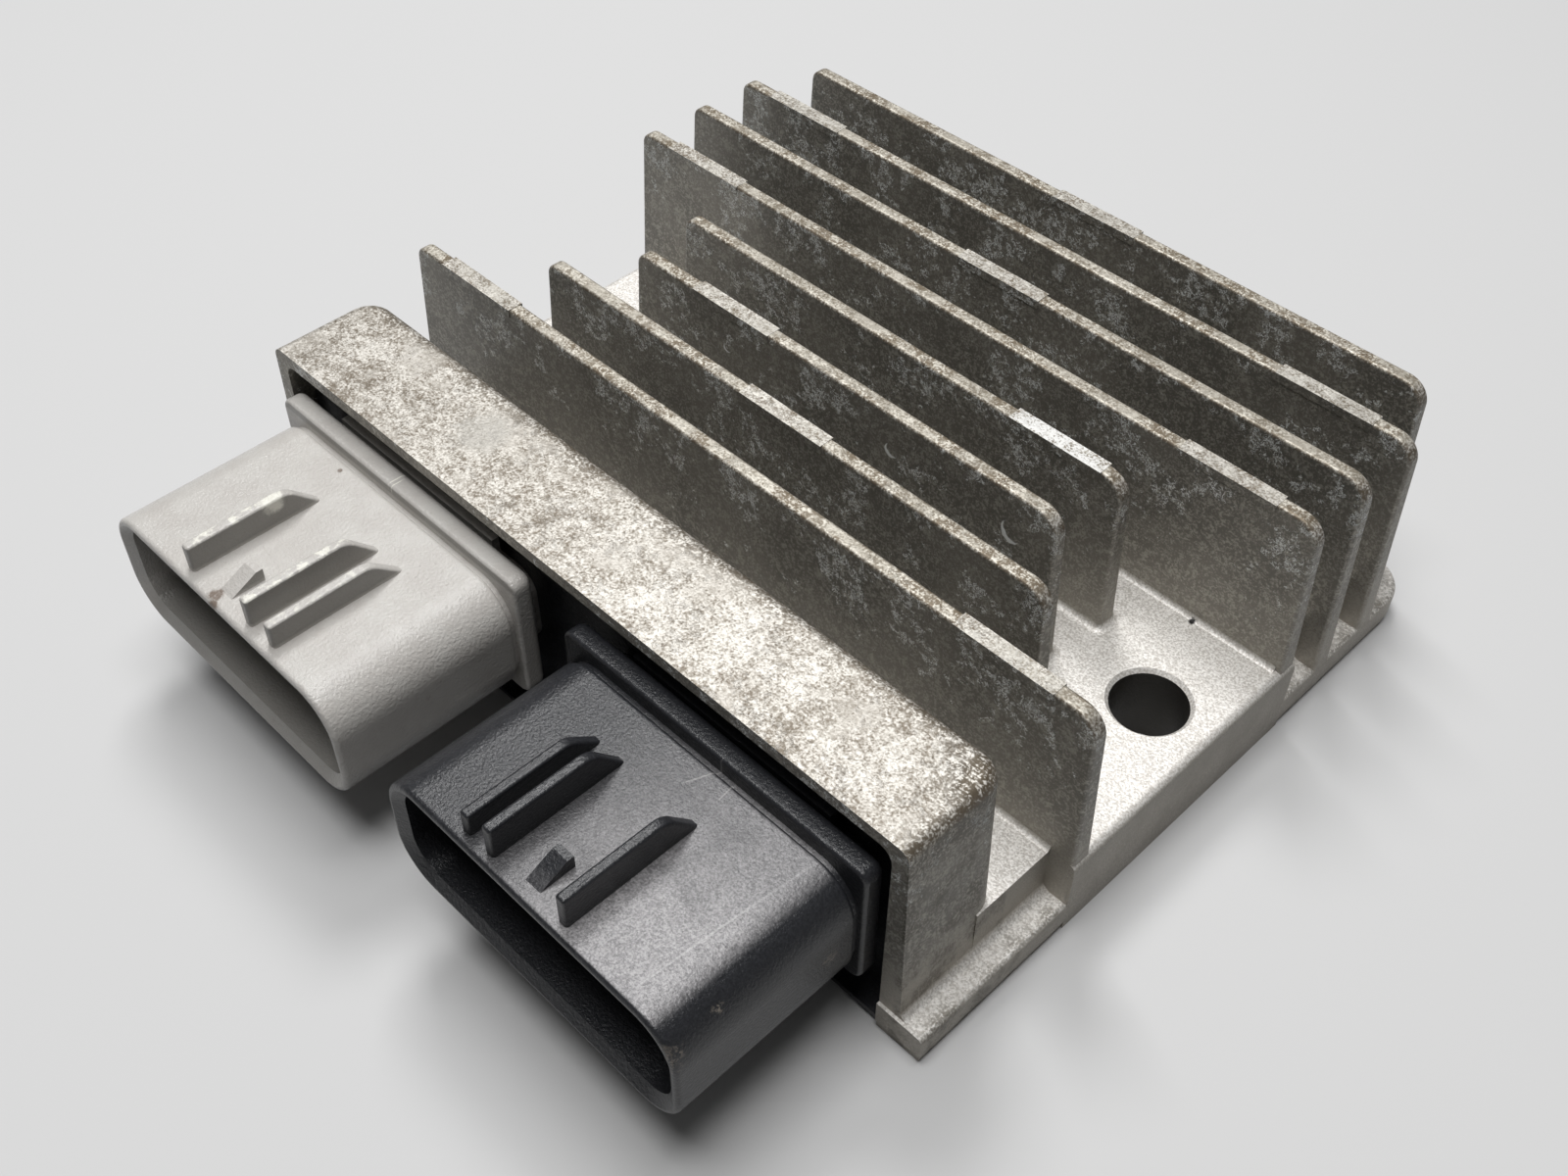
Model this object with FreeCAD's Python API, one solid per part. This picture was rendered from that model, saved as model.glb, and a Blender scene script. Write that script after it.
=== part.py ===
"""Voltage regulator rectifier: a finned die casting with two moulded connectors, potted from below.

Frame: millimetres, +Z up from the mounting face, origin midway between the two mounting holes.
X runs along the fins, and the connectors face -Y.
"""
import FreeCAD, Part
import math
import os

from FreeCAD import Vector

# Connectors: a rounded shroud around a row of blades, with a flange that meets the box opening
shroud_width = 36.3
shroud_height = 13.5
shroud_length = 20.0
shroud_wall = 1.6
shroud_corner_radius = 4.6
shroud_edge_radius = 0.5
lead_in_depth = 0.7
lead_in_land = 0.6
socket_back_wall = 4.5
connector_lift = 8.1
connector_gap = 6.8
groove_width = 0.45
groove_depth = 0.4
flange_lip = 0.35
flange_top_rise = 1.3
flange_thickness = 2.3
flange_corner_radius = 1.3
flange_front_edge_radius = 0.4
flange_rear_edge_radius = 0.9
flange_seat = 0.55
collar_width = 24.0
collar_thickness = 0.8
collar_gap = 0.3
collar_drop = 0.5
neck_inset = 2.2
neck_overrun = 1.2

# Guide ribs and latch wedge on top of each shroud, as offsets from its middle
rib_thickness = 1.1
rib_mouth_setback = 1.0
rib_crest_length = 10.8
rib_tail_length = 3.0
rib_crest_radius = 2.4
rib_edge_radius = 0.3
wedge_width = 1.8
wedge_length = 3.6
wedge_ramp_length = 2.9
wedge_height = 1.4
wedge_mouth_setback = 1.6
stator_ribs = ((-4.9, 3.0), (4.6, 3.2), (8.2, 2.7))
output_ribs = ((-7.7, 2.5), (-4.7, 3.5), (4.3, 3.5))

# Blades
blade_width = 6.3
blade_thickness = 0.8
blade_pitch = 9.6
blade_count = 3
blade_tip_setback = 6.5
blade_tip_bevel = 0.25
leg_width = 3.0

# Connector box at the front of the casting
opening_side_clearance = 0.9
opening_headroom = 2.65
opening_corner_radius = 1.5
box_setback = 0.35
box_pocket_depth = 10.0
box_rear_wall = 2.1
box_side_wall = 2.4
box_roof_thickness = 1.35
box_corner_radius = 2.8
box_edge_radius = 1.2
wall_draft = 1.8

# Base of the casting
ledge_height = 3.8
ledge_width = 2.8
ledge_edge_radius = 0.5
ledge_foot_radius = 1.2
sole_height = 1.0
sole_inset = 0.2
floor_height = 9.5
floor_edge_radius = 0.9
rear_corner_radius = 5.0
rear_ledge_width = 0.4
holes_to_front = 39.5
holes_to_rear = 38.6
hole_inset = 7.0
hole_diameter = 7.8
hole_chamfer = 0.4

# Fins, counted from the connector box
fin_count = 8
fin_top = 28.0
fin_tip_thickness = 1.6
fin_draft = 1.2
fin_end_draft = 2.3
fin_left_corner_radius = 1.3
fin_right_corner_radius = 2.6
fin_edge_radius = 0.35
fin_foot_radius = 0.9
first_fin_from_front = 20.7
last_fin_from_rear = 1.75
last_fin_from_side = 4.8
second_fin_from_hole = 5.9
third_fin_from_hole = 11.1
fourth_fin_from_hole = 9.9
fin_sink = 1.0
skirt_sink = 0.05
short_fins = (1, 2, 3, 7)
ear_first_fin = 0
ear_last_fin = 4

# Flat pads on the fin tips where the casting is pushed out of its die
pad_length = 11.0
pad_width = 1.8
pad_rise = 0.05
pad_depth = 0.9
pad_end_margin = 4.6
middle_pad_shift = 1.0

# Pocket for the electronics, open at the underside
ceiling_thickness = 3.5
pocket_side_wall = 2.6
pocket_rear_wall = 2.6
pocket_corner_radius = 2.5
pocket_step_setback = 1.0
ear_boss_radius = 8.5

# Potting and electronics
resin_recess = 0.6
dam_setback = 2.4
dam_thickness = 2.0
dam_foot_height = 0.6
board_lift = 1.2
board_thickness = 1.2
board_margin = 1.5
board_front_gap = 0.8
sheet_thickness = 0.3
sheet_margin = 1.0
device_width = 10.0
device_length = 15.0
device_row_gap = 4.0
device_edge_margin = 2.0
device_columns = 3
device_rows = 2
device_bevel = 0.4
chip_width = 9.0
chip_length = 7.0
chip_height = 1.5
chip_from_board_front = 20.0
capacitor_width = 7.0
capacitor_length = 5.0
capacitor_height = 1.6
capacitor_spacing = 20.0
capacitor_from_board_front = 12.0

# Sizes that follow from the ones above
flange_width = shroud_width + 2 * flange_lip
connector_offset = (flange_width + connector_gap) / 2
shroud_top = connector_lift + shroud_height
shroud_mid = connector_lift + shroud_height / 2
opening_half = connector_offset + flange_width / 2 + opening_side_clearance
opening_top = shroud_top + flange_top_rise + opening_headroom
box_top = opening_top + box_roof_thickness
box_half = opening_half + box_side_wall
plate_half = box_half + ledge_width
hole_x = plate_half - hole_inset
plate_front = -holes_to_front
plate_rear = holes_to_rear
box_front = plate_front + box_setback
pocket_front_rear = box_front + box_pocket_depth
box_rear = pocket_front_rear + box_rear_wall
flange_rear = box_front + flange_seat
flange_front = flange_rear - flange_thickness
mouth = flange_front - shroud_length
dam_front = box_front + dam_setback
dam_rear = dam_front + dam_thickness
neck_rear = dam_rear + neck_overrun
pocket_top = floor_height - ceiling_thickness
first_fin_y = plate_front + first_fin_from_front
last_fin_y = plate_rear - last_fin_from_rear
fin_pitch = (last_fin_y - first_fin_y) / (fin_count - 1)
fin_rise = fin_top - floor_height
fin_root_half = fin_tip_thickness / 2 + fin_rise * math.tan(math.radians(fin_draft))
board_top = board_lift + board_thickness


def fin_y(index):
    """Middle of a fin, counted from the connector box."""
    return first_fin_y + index * fin_pitch


ear_front = fin_y(ear_first_fin) - fin_root_half
ear_rear = fin_y(ear_last_fin) + fin_root_half
pocket_ear_half = hole_x - ear_boss_radius
pocket_rear_half = plate_half - ledge_width - pocket_side_wall
pocket_rear = plate_rear - rear_ledge_width - pocket_rear_wall
pocket_step_front = ear_front - pocket_step_setback
pocket_step_rear = ear_rear + pocket_step_setback
board_half = pocket_ear_half - board_margin
board_front = dam_rear + board_front_gap
board_rear = pocket_rear - board_margin


def block(x_range, y_range, z_range):
    """Plain box between three pairs of limits."""
    low = Vector(x_range[0], y_range[0], z_range[0])
    return Part.makeBox(x_range[1] - x_range[0], y_range[1] - y_range[0], z_range[1] - z_range[0], low)


def rounded_wire(corners, radii, place):
    """Closed wire through the corners, each rounded by its own radius.

    corners are (a, b) pairs in order around the outline, and place turns a pair into a point.
    """
    count = len(corners)
    edges, starts, ends = [], [], []
    for i, corner in enumerate(corners):
        here = Vector(corner[0], corner[1], 0)
        to_last = (Vector(*corners[i - 1], 0) - here).normalize()
        to_next = (Vector(*corners[(i + 1) % count], 0) - here).normalize()
        turn = to_last.getAngle(to_next)
        setback = radii[i] / math.tan(turn / 2)
        middle = here + (to_last + to_next).normalize() * radii[i] * (1 / math.sin(turn / 2) - 1)
        first, last = here + to_last * setback, here + to_next * setback
        starts.append(first)
        ends.append(last)
        if radii[i] > 0:
            points = [place(p.x, p.y) for p in (first, middle, last)]
            edges.append(Part.Arc(*points).toShape())
    for i in range(count):
        a, b = ends[i], starts[(i + 1) % count]
        if not near((b - a).Length, 0):
            edges.append(Part.LineSegment(place(a.x, a.y), place(b.x, b.y)).toShape())
    return Part.Wire(Part.__sortEdges__(edges))


def rounded_plate(x_range, y_range, z_range, radii):
    """Upright slab with rounded corners, listed front left, front right, rear right, rear left."""
    corners = [(x_range[0], y_range[0]), (x_range[1], y_range[0]),
               (x_range[1], y_range[1]), (x_range[0], y_range[1])]
    wire = rounded_wire(corners, radii, lambda a, b: Vector(a, b, z_range[0]))
    return Part.Face(wire).extrude(Vector(0, 0, z_range[1] - z_range[0]))


def along_x(points, x_range):
    """Prism along X of a closed outline of (y, z) points."""
    ring = [Vector(x_range[0], y, z) for y, z in points]
    return Part.Face(Part.makePolygon(ring + ring[:1])).extrude(Vector(x_range[1] - x_range[0], 0, 0))


def edges_where(shape, test):
    """Edges of a shape whose two ends and middle all pass the test."""
    found = []
    for edge in shape.Edges:
        middle = edge.valueAt((edge.FirstParameter + edge.LastParameter) / 2)
        if all(test(p) for p in [v.Point for v in edge.Vertexes] + [middle]):
            found.append(edge)
    return found


def near(value, target):
    """Whether a coordinate lies on a plane, within the modelling tolerance."""
    return abs(value - target) < 1e-4


# Casting

def footprint(inset, z_range):
    """Slab with the outline of the whole base, moved inwards by inset."""
    half = plate_half - inset
    radius = rear_corner_radius - inset
    depth = (plate_front + inset, plate_rear - inset)
    return rounded_plate((-half, half), depth, z_range, (0, 0, radius, radius))


def base_ledge():
    """Lowest step of the casting, softened at its upper edge and set in a little at the mounting face."""
    body = footprint(0, (sole_height, ledge_height))
    rim = [edge for edge in edges_where(body, lambda p: near(p.z, ledge_height))
           if not all(near(v.Point.y, plate_front) for v in edge.Vertexes)]
    sole = footprint(sole_inset, (0, ledge_height - ledge_edge_radius))
    return body.makeFillet(ledge_edge_radius, rim).fuse(sole)


def raised_floor():
    """Floor above the ledge: narrow at the front and rear, full width at the two ears."""
    inner = plate_half - ledge_width
    body = rounded_plate((-inner, inner), (box_rear - box_corner_radius, plate_rear - rear_ledge_width),
                         (0, floor_height),
                         (0, 0, rear_corner_radius - ledge_width, rear_corner_radius - ledge_width))
    ears = block((-plate_half, plate_half), (ear_front, ear_rear), (0, floor_height))
    for side in (-1, 1):
        rim = edges_where(ears, lambda p: near(p.z, floor_height) and near(p.x, side * plate_half))
        ears = ears.makeFillet(floor_edge_radius, rim)
    return body.fuse(ears)


def connector_box():
    """Tall drafted box along the front edge, open at its front and underside."""
    lean = math.tan(math.radians(wall_draft))
    rise = box_top - ledge_height
    sections = []
    for half, rear, z in ((box_half, box_rear + rise * lean / 2, ledge_height),
                          (box_half - rise * lean, box_rear, box_top)):
        corners = [(-half, box_front), (half, box_front), (half, rear), (-half, rear)]
        radii = (0, 0, box_corner_radius, box_corner_radius)
        sections.append(rounded_wire(corners, radii, lambda a, b, z=z: Vector(a, b, z)))
    body = Part.makeLoft(sections, True, True)
    rim = edges_where(body, lambda p: near(p.z, box_top))
    rim = [edge for edge in rim if not all(near(v.Point.y, box_front) for v in edge.Vertexes)]
    return body.makeFillet(box_edge_radius, rim)


def box_opening():
    """Space inside the connector box, from its open front to its rear wall."""
    corners = [(-opening_half, 0), (opening_half, 0),
               (opening_half, opening_top), (-opening_half, opening_top)]
    radii = (0, 0, opening_corner_radius, opening_corner_radius)
    wire = rounded_wire(corners, radii, lambda a, b: Vector(a, plate_front, b))
    return Part.Face(wire).extrude(Vector(0, pocket_front_rear - plate_front, 0))


def electronics_pocket():
    """Stepped pocket in the underside: wide at the front and rear, narrow between the ears."""
    r = pocket_corner_radius
    front = rounded_plate((-opening_half, opening_half), (box_front, pocket_step_front),
                          (0, pocket_top), (0, 0, r, r))
    middle = block((-pocket_ear_half, pocket_ear_half), (box_front, pocket_rear), (0, pocket_top))
    rear = rounded_plate((-pocket_rear_half, pocket_rear_half), (pocket_step_rear, pocket_rear),
                         (0, pocket_top), (r, r, r, r))
    return front.fuse(middle).fuse(rear)


def fin(index, half_length, bottom):
    """One drafted fin with rounded top corners and rounded rims, sunk into the casting below."""
    y = fin_y(index)
    lean_x = math.tan(math.radians(fin_end_draft))
    lean_y = math.tan(math.radians(fin_draft))
    sections = []
    for z in (bottom, fin_top):
        a = half_length + (fin_top - z) * lean_x
        b = fin_tip_thickness / 2 + (fin_top - z) * lean_y
        ring = [Vector(-a, y - b, z), Vector(a, y - b, z), Vector(a, y + b, z), Vector(-a, y + b, z)]
        sections.append(Part.makePolygon(ring + ring[:1]))
    body = Part.makeLoft(sections, True, True)
    for side, radius in ((-1, fin_left_corner_radius), (1, fin_right_corner_radius)):
        end = edges_where(body, lambda p: near(p.z, fin_top) and near(p.x, side * half_length))
        body = body.makeFillet(radius, end)
    rim = [edge for edge in body.Edges
           if edge.BoundBox.ZMax > bottom + 1e-3 and abs(edge.CenterOfMass.y - y) > fin_tip_thickness / 4]
    return body.makeFillet(fin_edge_radius, rim)


def ejector_pad(index, x):
    """Flat-topped thickening of a fin tip."""
    y = fin_y(index)
    half = pad_length / 2
    return block((x - half, x + half), (y - pad_width / 2, y + pad_width / 2),
                 (fin_top - pad_depth, fin_top + pad_rise))


def fin_half_length(index):
    """Half length at the tip, from the hole for the short fins and from the plate for the others."""
    lean = math.tan(math.radians(fin_end_draft))
    full = plate_half - (fin_top - ledge_height + fin_sink) * lean
    short = dict(zip(short_fins, (hole_x - second_fin_from_hole, hole_x - third_fin_from_hole,
                                  hole_x - fourth_fin_from_hole, plate_half - last_fin_from_side)))
    return short.get(index, full)


def fin_feet(body):
    """Edges where the short fins between the ears stand on the floor."""
    feet = []
    for index in range(ear_first_fin + 1, ear_last_fin):
        y = fin_y(index)
        feet += edges_where(body, lambda p: near(p.z, floor_height) and abs(p.y - y) < fin_root_half + 1e-3)
    return feet


def fin_skirt(index, side):
    """Flare along one side of a long fin's foot, from end to end of the floor beside it."""
    y = fin_y(index)
    lean = math.tan(math.radians(fin_draft))
    hollow_z = floor_height + fin_foot_radius - skirt_sink
    hollow_y = y + side * (fin_tip_thickness / 2 + (fin_top - hollow_z) * lean + fin_foot_radius - skirt_sink)
    if index == fin_count - 1:
        reach = fin_half_length(index)
    elif ear_front < hollow_y < ear_rear:
        reach = plate_half - floor_edge_radius
    else:
        reach = plate_half - ledge_width
    body = block((-reach, reach), sorted((y, hollow_y)), (floor_height - fin_sink, hollow_z))
    start = Vector(-reach, hollow_y, hollow_z)
    return body.cut(Part.makeCylinder(fin_foot_radius, 2 * reach, start, Vector(1, 0, 0)))


def ledge_skirt(side, y_range):
    """Flare along one side where the walls above the ledge stand on it."""
    wall = side * (plate_half - ledge_width)
    hollow_x = wall + side * (ledge_foot_radius - skirt_sink)
    hollow_z = ledge_height + ledge_foot_radius - skirt_sink
    body = block(sorted((wall - side * fin_sink, hollow_x)), y_range, (ledge_height - fin_sink, hollow_z))
    start = Vector(hollow_x, y_range[0], hollow_z)
    return body.cut(Part.makeCylinder(ledge_foot_radius, y_range[1] - y_range[0], start, Vector(0, 1, 0)))


def heatsink_housing():
    """The whole die casting."""
    body = base_ledge().fuse(raised_floor())
    wall_rear = plate_rear - rear_ledge_width - rear_corner_radius + ledge_width
    for side in (-1, 1):
        for y_range in ((box_front, ear_front), (ear_rear, wall_rear)):
            body = body.fuse(ledge_skirt(side, y_range))
    for index in range(fin_count):
        foot = floor_height if index in short_fins else ledge_height
        body = body.fuse(fin(index, fin_half_length(index), foot - fin_sink))
    body = body.makeFillet(fin_foot_radius, fin_feet(body))
    for index in (0, *range(ear_last_fin, fin_count)):
        body = body.fuse(fin_skirt(index, -1))
        if index < fin_count - 1:
            body = body.fuse(fin_skirt(index, 1))
    body = body.fuse(connector_box())
    end = fin_half_length(0) - pad_end_margin - pad_length / 2
    pads = [(0, -end), (0, end), (1, middle_pad_shift), (2, -fin_half_length(2) / 2),
            (3, fin_half_length(3) - pad_length / 2 - fin_right_corner_radius), (4, -end), (4, end),
            (5, middle_pad_shift), (6, -end), (6, end), (7, middle_pad_shift)]
    for index, x in pads:
        body = body.fuse(ejector_pad(index, x))
    body = body.cut(box_opening()).cut(electronics_pocket())
    for side in (-1, 1):
        x = side * hole_x
        radius = hole_diameter / 2
        bore = Part.makeCylinder(radius, floor_height, Vector(x, 0, 0))
        rim = Part.makeCone(radius, radius + hole_chamfer, hole_chamfer,
                            Vector(x, 0, floor_height - hole_chamfer))
        body = body.cut(bore).cut(rim)
    return body.removeSplitter()


# Connectors

def shroud_wire(middle, y, inset, radius, top_extra=0.0):
    """Outline of the shroud in the plane at y, moved inwards by inset on every side."""
    half = shroud_width / 2 - inset
    low, high = connector_lift + inset, shroud_top - inset + top_extra
    corners = [(-half, low), (half, low), (half, high), (-half, high)]
    return rounded_wire(corners, (radius,) * 4, lambda a, z: Vector(middle + a, y, z))


def shroud_prism(middle, inset, y_range):
    """Prism of the shroud's outline, moved inwards by inset."""
    wire = shroud_wire(middle, y_range[0], inset, shroud_corner_radius - inset)
    return Part.Face(wire).extrude(Vector(0, y_range[1] - y_range[0], 0))


def neck(middle):
    """Back of the connector, which passes through the dam."""
    return shroud_prism(middle, neck_inset, (flange_rear - flange_thickness / 2, neck_rear))


def flange(middle):
    """Thick squarer plate around the back of the shroud, well rounded at its rear."""
    wire = shroud_wire(middle, flange_front, -flange_lip, flange_corner_radius, flange_top_rise - flange_lip)
    body = Part.Face(wire).extrude(Vector(0, flange_thickness, 0))
    for y, radius in ((flange_front, flange_front_edge_radius), (flange_rear, flange_rear_edge_radius)):
        body = body.makeFillet(radius, edges_where(body, lambda p: near(p.y, y)))
    return body


def collar(middle):
    """Low lip on top of the neck, just behind the flange."""
    front = flange_rear + collar_gap
    return block((middle - collar_width / 2, middle + collar_width / 2), (front, front + collar_thickness),
                 (shroud_mid, shroud_top + flange_top_rise - collar_drop))


def guide_rib(middle, offset, height):
    """Rib on top of the shroud with a sloped tail, sunk a little into the top wall."""
    front = mouth + rib_mouth_setback
    crest_end = front + rib_crest_length
    root = shroud_top - shroud_wall / 2
    outline = [(front, root), (front, shroud_top + height), (crest_end, shroud_top + height),
               (crest_end + rib_tail_length, shroud_top), (crest_end + rib_tail_length, root)]
    x = middle + offset
    body = along_x(outline, (x - rib_thickness / 2, x + rib_thickness / 2))
    body = body.makeFillet(rib_crest_radius, edges_where(body, lambda p: near(p.y, crest_end)))
    exposed = [edge for edge in body.Edges if edge.BoundBox.ZMax > shroud_top + rib_edge_radius]
    return body.makeFillet(rib_edge_radius, exposed)


def latch_wedge(middle):
    """Ramp that the plug's latch snaps over: it climbs from the mouth and ends in a step."""
    front = mouth + wedge_mouth_setback
    root = shroud_top - shroud_wall / 2
    outline = [(front, root), (front, shroud_top), (front + wedge_ramp_length, shroud_top + wedge_height),
               (front + wedge_length, shroud_top + wedge_height), (front + wedge_length, root)]
    return along_x(outline, (middle - wedge_width / 2, middle + wedge_width / 2))


def blade_slot(middle, index):
    """Where one blade passes through the socket's back wall and the neck."""
    x = middle + (index - (blade_count - 1) / 2) * blade_pitch
    return block((x - blade_width / 2, x + blade_width / 2), (mouth, neck_rear),
                 (shroud_mid - blade_thickness / 2, shroud_mid + blade_thickness / 2))


def socket(middle):
    """Space inside the shroud, which opens out at the mouth."""
    inner_radius = shroud_corner_radius - shroud_wall
    throat = mouth + lead_in_depth
    body = shroud_prism(middle, shroud_wall, (mouth + lead_in_depth / 2, flange_rear - socket_back_wall))
    rims = [shroud_wire(middle, mouth, lead_in_land, shroud_corner_radius - lead_in_land),
            shroud_wire(middle, throat, shroud_wall, inner_radius)]
    return body.fuse(Part.makeLoft(rims, True, True))


def connector(middle, ribs):
    """Moulded shroud with its groove, flange, neck, ribs and latch wedge, open at the mouth."""
    groove_front = flange_front - groove_width
    body = shroud_prism(middle, 0, (mouth, groove_front))
    for y in (mouth, groove_front):
        body = body.makeFillet(shroud_edge_radius, edges_where(body, lambda p: near(p.y, y)))
    core = shroud_prism(middle, groove_depth,
                        (groove_front - groove_width, flange_front + flange_thickness / 2))
    body = body.fuse(core).fuse(flange(middle)).fuse(neck(middle)).fuse(collar(middle))
    for offset, height in ribs:
        body = body.fuse(guide_rib(middle, offset, height))
    body = body.fuse(latch_wedge(middle)).cut(socket(middle))
    for index in range(blade_count):
        body = body.cut(blade_slot(middle, index))
    return body.removeSplitter()


def terminal(middle, index):
    """Blade with a bevelled tip and a narrower tail that turns down to the board."""
    x = middle + (index - (blade_count - 1) / 2) * blade_pitch
    leg_y = (neck_rear + pocket_front_rear) / 2
    half = blade_thickness / 2
    tip = mouth + blade_tip_setback
    outline = [(tip, shroud_mid - half + blade_tip_bevel), (tip + 2 * blade_tip_bevel, shroud_mid - half),
               (neck_rear, shroud_mid - half), (neck_rear, shroud_mid + half),
               (tip + 2 * blade_tip_bevel, shroud_mid + half), (tip, shroud_mid + half - blade_tip_bevel)]
    blade = along_x(outline, (x - blade_width / 2, x + blade_width / 2))
    tail = [(neck_rear, shroud_mid - half), (leg_y - half, shroud_mid - half), (leg_y - half, board_top),
            (leg_y + half, board_top), (leg_y + half, shroud_mid + half), (neck_rear, shroud_mid + half)]
    leg = along_x(tail, (x - leg_width / 2, x + leg_width / 2))
    return blade.fuse(leg).removeSplitter()


# Potting and electronics

def potting_dam():
    """Moulded strip that closes the box opening behind the flanges, with a foot to the front edge."""
    plate = block((-opening_half, opening_half), (dam_front, dam_rear), (resin_recess, opening_top))
    foot = block((-opening_half, opening_half), (box_front, dam_rear),
                 (resin_recess, resin_recess + dam_foot_height))
    body = plate.fuse(foot).common(box_opening())
    for middle in (-connector_offset, connector_offset):
        body = body.cut(neck(middle))
    return body.removeSplitter()


def insulating_sheet():
    """Thermal pad on the pocket's ceiling, over the board's whole rear part."""
    front = device_y(device_rows - 1) - device_length / 2 - sheet_margin
    rear = device_y(0) + device_length / 2 + sheet_margin
    return block((-board_half, board_half), (front, rear), (pocket_top - sheet_thickness, pocket_top))


def control_board():
    """Circuit board under the devices, which follows the outline of the pocket."""
    level = (board_lift, board_top)
    front_half = opening_half - board_margin
    rear_half = pocket_rear_half - board_margin
    front = block((-front_half, front_half), (board_front, pocket_step_front - board_margin), level)
    middle = block((-board_half, board_half), (board_front, board_rear), level)
    rear = block((-rear_half, rear_half), (pocket_step_rear + board_margin, board_rear), level)
    return front.fuse(middle).fuse(rear).removeSplitter()


def device_y(row):
    """Middle of a row of devices, counted from the rear of the board."""
    return board_rear - device_edge_margin - device_length / 2 - row * (device_length + device_row_gap)


def power_device(column, row):
    """Flat moulded package between the board and the insulating sheet."""
    pitch = 2 * (board_half - device_edge_margin - device_width / 2) / (device_columns - 1)
    x = (column - (device_columns - 1) / 2) * pitch
    y = device_y(row)
    body = block((x - device_width / 2, x + device_width / 2), (y - device_length / 2, y + device_length / 2),
                 (board_top, pocket_top - sheet_thickness))
    upright = [edge for edge in body.Edges if near(edge.BoundBox.ZLength, edge.Length)]
    return body.makeChamfer(device_bevel, upright)


def control_chip():
    """Regulator circuit on top of the board."""
    y = board_front + chip_from_board_front
    return block((-chip_width / 2, chip_width / 2), (y - chip_length / 2, y + chip_length / 2),
                 (board_top, board_top + chip_height))


def filter_capacitor(side):
    """Flat capacitor on top of the board, left or right of the middle."""
    x = side * capacitor_spacing / 2
    y = board_front + capacitor_from_board_front
    return block((x - capacitor_width / 2, x + capacitor_width / 2),
                 (y - capacitor_length / 2, y + capacitor_length / 2),
                 (board_top, board_top + capacitor_height))


def potting_resin(buried):
    """Fill behind the dam and in the whole pocket, around everything that it buries."""
    behind_dam = block((-opening_half, opening_half), (dam_rear, pocket_front_rear),
                       (resin_recess, opening_top))
    pocket = electronics_pocket().common(
        block((-plate_half, plate_half), (dam_rear, plate_rear), (resin_recess, floor_height)))
    body = behind_dam.common(box_opening()).fuse(pocket)
    for piece in buried:
        body = body.cut(piece)
    return body.removeSplitter()


def build():
    """All nodes by name."""
    nodes = {"heatsink_housing": heatsink_housing(),
             "stator_connector": connector(-connector_offset, stator_ribs),
             "output_connector": connector(connector_offset, output_ribs),
             "potting_dam": potting_dam(),
             "insulating_sheet": insulating_sheet(),
             "control_board": control_board(),
             "control_chip": control_chip()}
    for number, side in enumerate((-1, 1), start=1):
        nodes["filter_capacitor_%d" % number] = filter_capacitor(side)
    for index in range(blade_count):
        nodes["stator_terminal_%d" % (index + 1)] = terminal(-connector_offset, index)
        nodes["output_terminal_%d" % (index + 1)] = terminal(connector_offset, index)
    for row in range(device_rows):
        for column in range(device_columns):
            nodes["power_device_%d" % (row * device_columns + column + 1)] = power_device(column, row)
    buried = [shape for name, shape in nodes.items() if name not in ("heatsink_housing", "potting_dam")]
    nodes["potting_resin"] = potting_resin(buried)
    return nodes


os.makedirs("parts", exist_ok=True)
for name, shape in build().items():
    shape.exportStep("parts/%s.step" % name)
    print("%-20s solids %d valid %s volume %.1f" % (name, len(shape.Solids), shape.isValid(), shape.Volume))
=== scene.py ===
import math

import bpy
from mathutils import Matrix, Vector

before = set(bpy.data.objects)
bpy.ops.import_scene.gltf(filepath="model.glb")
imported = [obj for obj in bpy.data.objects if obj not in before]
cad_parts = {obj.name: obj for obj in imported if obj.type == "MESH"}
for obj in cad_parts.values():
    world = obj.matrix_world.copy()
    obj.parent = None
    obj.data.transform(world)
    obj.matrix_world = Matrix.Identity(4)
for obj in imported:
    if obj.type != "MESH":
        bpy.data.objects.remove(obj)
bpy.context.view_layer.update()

scene = bpy.context.scene
scene.view_settings.view_transform = "Standard"

# Camera. It stands over the right front corner and looks down at the part.
# The lens is a plain pinhole of moderate length, unshifted.
camera_place = Vector((0.08928, -0.09978, 0.13601))
camera_azimuth = math.radians(44.755)
camera_elevation = math.radians(46.468)
camera_roll = math.radians(0.713)
focal_length_in_widths = 1.10477
sensor_width = 36.0
nearest_seen = 0.005

camera_data = bpy.data.cameras.new("camera")
camera_data.sensor_width = sensor_width
camera_data.lens = focal_length_in_widths * sensor_width
camera_data.clip_start = nearest_seen
camera = bpy.data.objects.new("camera", camera_data)
scene.collection.objects.link(camera)
level = Vector((math.cos(camera_azimuth), math.sin(camera_azimuth), 0))
backward = Vector((math.sin(camera_azimuth) * math.cos(camera_elevation),
                   -math.cos(camera_azimuth) * math.cos(camera_elevation), math.sin(camera_elevation)))
upright = backward.cross(level)
right = level * math.cos(camera_roll) + upright * math.sin(camera_roll)
up = backward.cross(right)
turn = Matrix((right, up, backward)).transposed().to_4x4()
camera.matrix_world = Matrix.Translation(camera_place) @ turn
scene.camera = camera

# Floor and light. A plain pale floor under two square lamps: a wide soft one overhead, and a
# smaller one behind and to the left, which gives the glints along the rounded edges.
# An even grey room fills in the rest.
floor_half = 1.5
floor_shade = 0.66
floor_bounce = 0.14
floor_roughness = 0.9
floor_gloss = 0.2
room_shade = 0.08
lamps = (("ceiling", (0.02, -0.08, 0.74), 0.40, 3.9),
         ("window", (-0.26, 0.18, 0.60), 0.20, 2.0))


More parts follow.
